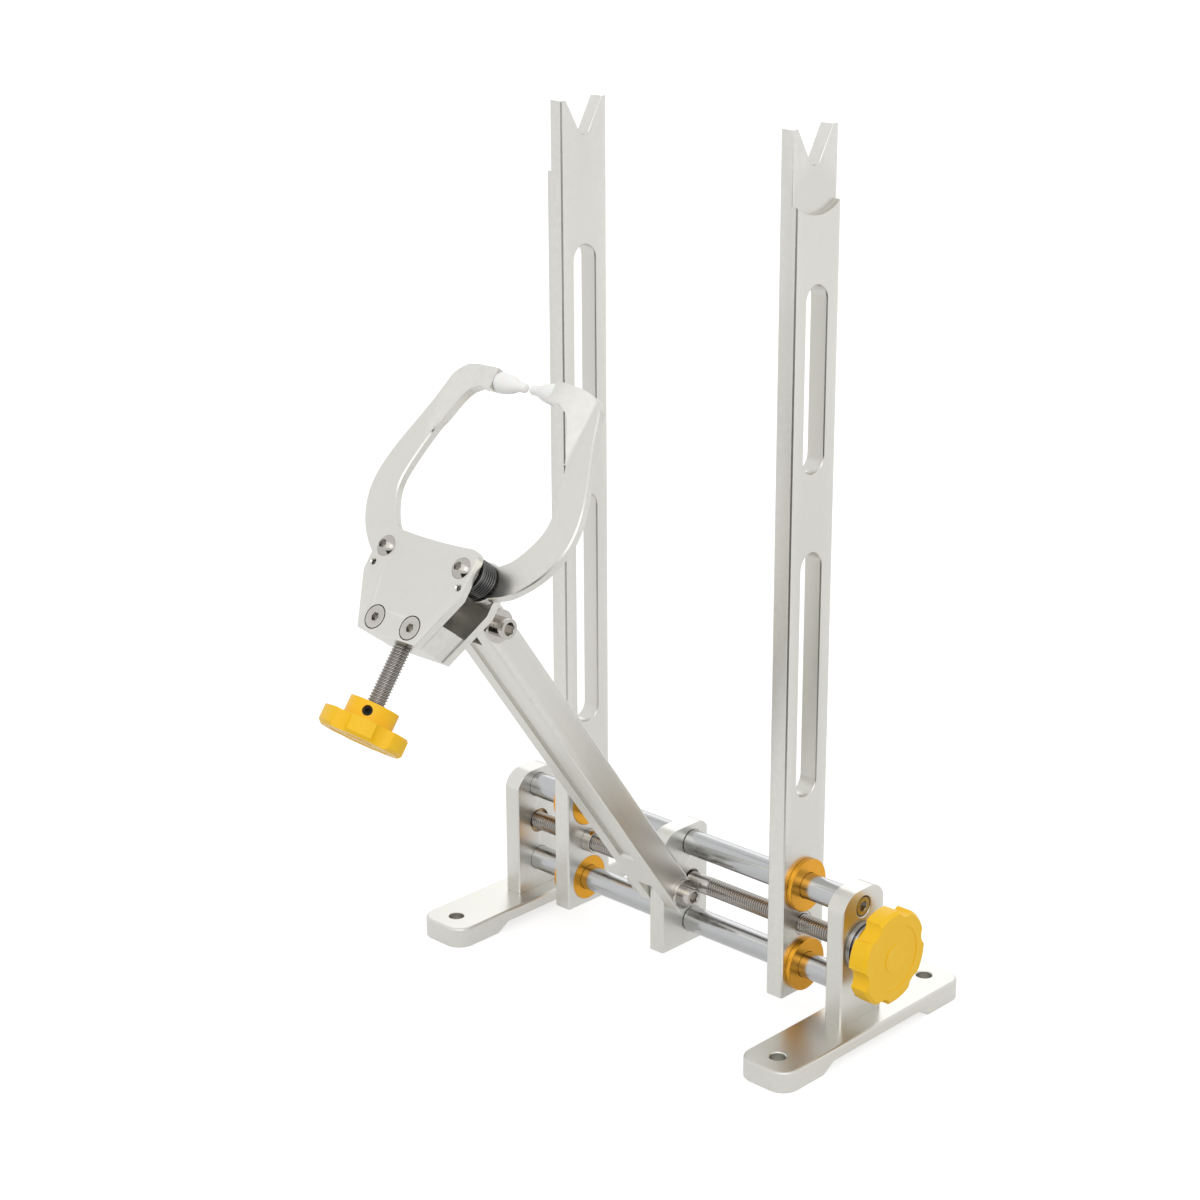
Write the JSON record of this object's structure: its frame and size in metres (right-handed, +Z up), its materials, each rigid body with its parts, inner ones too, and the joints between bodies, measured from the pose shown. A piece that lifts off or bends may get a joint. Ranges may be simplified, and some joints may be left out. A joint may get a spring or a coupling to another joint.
{
  "type": "wheel truing stand",
  "caption": "Bench stand for truing wheels: two uprights closed together by a leadscrew, and a leaning arm with a screw-driven caliper that spans the rim.",
  "frame": {"origin": "on the bench, midway between the four bench holes and below the guide rods", "axes": "+Z up, +X along the guide rods towards the leadscrew knob, -Y towards the side the arm leans out on"},
  "size_m": [0.2771, 0.318, 0.4647],
  "materials": {
    "satin_aluminium": "satin, machined, lightly rounded edges",
    "polished_steel": "ground and polished",
    "dark_steel": "rolled thread, oiled",
    "stainless_steel": "stainless fasteners",
    "gold_anodised": "gold anodised",
    "bronze": "sintered bronze",
    "yellow_plastic": "moulded, slightly satin",
    "black_spring_steel": "black oxide",
    "white_nylon": "turned nylon"
  },
  "bodies": {
    "base": {"left_foot": "satin_aluminium", "right_foot": "satin_aluminium", "foot_screws": "stainless_steel", "left_end_plate": "satin_aluminium", "right_end_plate": "satin_aluminium", "upper_guide_rod": "polished_steel", "lower_guide_rod": "polished_steel", "rod_end_screws": "stainless_steel", "leadscrew_bushes": "bronze", "centre_bracket": "satin_aluminium", "bracket_set_screws": "dark_steel", "outer_thrust_race": "polished_steel"},
    "leadscrew_set": {"leadscrew": "dark_steel", "leadscrew_knob": "yellow_plastic", "leadscrew_knob_set_screw": "dark_steel", "leadscrew_retaining_ring": "polished_steel", "thrust_cage": "bronze", "inner_thrust_race": "polished_steel"},
    "left_upright_set": {"left_upright": "satin_aluminium", "left_rod_bushings": "gold_anodised", "left_leadscrew_nut": "stainless_steel"},
    "right_upright_set": {"right_upright": "satin_aluminium", "right_rod_bushings": "gold_anodised", "right_leadscrew_nut": "stainless_steel"},
    "swing_arm_set": {"swing_arm": "satin_aluminium", "pivot_bolts": "stainless_steel", "pivot_washers": "stainless_steel", "pivot_nuts": "stainless_steel"},
    "caliper_head": {"caliper_front_plate": "satin_aluminium", "caliper_rear_plate": "satin_aluminium", "caliper_block": "satin_aluminium", "caliper_lug": "satin_aluminium", "block_screws": "stainless_steel", "lug_screws": "stainless_steel", "arm_pivot_screws": "stainless_steel", "left_pivot_sleeve": "black_spring_steel", "left_pivot_spacer": "stainless_steel", "right_pivot_sleeve": "black_spring_steel", "left_arm_spring": "black_spring_steel", "right_arm_spring": "black_spring_steel"},
    "left_caliper_arm_set": {"left_caliper_arm": "satin_aluminium", "left_contact_tip": "white_nylon"},
    "right_caliper_arm_set": {"right_caliper_arm": "satin_aluminium", "right_contact_tip": "white_nylon"},
    "pusher_set": {"caliper_pusher": "stainless_steel"},
    "caliper_screw_set": {"caliper_screw": "dark_steel", "caliper_knob": "yellow_plastic", "caliper_knob_set_screw": "dark_steel"}
  },
  "joints": [
    {"name": "leadscrew_spin", "type": "hinge", "parent": "base", "child": "leadscrew_set", "pos_m": [0, 0, 0.0524], "axis": [1, 0, 0], "range_deg": [-4082, 8402]},
    {"name": "left_upright_slide", "type": "slide", "parent": "base", "child": "left_upright_set", "axis": [-1, 0, 0], "range_m": [-0.035, 0.017]},
    {"name": "right_upright_slide", "type": "slide", "parent": "base", "child": "right_upright_set", "axis": [1, 0, 0], "range_m": [-0.035, 0.017]},
    {"name": "arm_swing", "type": "hinge", "parent": "base", "child": "swing_arm_set", "pos_m": [0, -0.0173, 0.053], "axis": [1, 0, 0], "range_deg": [-12, 34]},
    {"name": "head_tilt", "type": "hinge", "parent": "swing_arm_set", "child": "caliper_head", "pos_m": [0, -0.15043, 0.23896], "axis": [1, 0, 0], "range_deg": [-15, 15]},
    {"name": "pusher_slide", "type": "slide", "parent": "caliper_head", "child": "pusher_set", "axis": [0, 0.6018, 0.7986], "range_m": [-0.00018, 0.00746]},
    {"name": "caliper_screw_spin", "type": "hinge", "parent": "pusher_set", "child": "caliper_screw_set", "pos_m": [0, -0.1939, 0.24316], "axis": [0, 0.6018, 0.7986], "range_deg": [-45, 1792]},
    {"name": "left_arm_open", "type": "hinge", "parent": "caliper_head", "child": "left_caliper_arm_set", "pos_m": [-0.0257, -0.17314, 0.26997], "axis": [0, -0.7986, 0.6018], "range_deg": [-0.5, 20]},
    {"name": "right_arm_open", "type": "hinge", "parent": "caliper_head", "child": "right_caliper_arm_set", "pos_m": [0.0257, -0.16883, 0.26672], "axis": [0, 0.7986, -0.6018], "range_deg": [-0.5, 20]}
  ],
  "couplings": [
    {"joint": "leadscrew_spin", "follows": "right_upright_slide", "rad_per_m": -4188.8},
    {"joint": "left_upright_slide", "follows": "right_upright_slide", "ratio": 1},
    {"joint": "caliper_screw_spin", "follows": "pusher_slide", "rad_per_m": 4188.8},
    {"joint": "left_arm_open", "follows": "pusher_slide", "rad_per_m": 46.729},
    {"joint": "right_arm_open", "follows": "pusher_slide", "rad_per_m": 46.729}
  ]
}
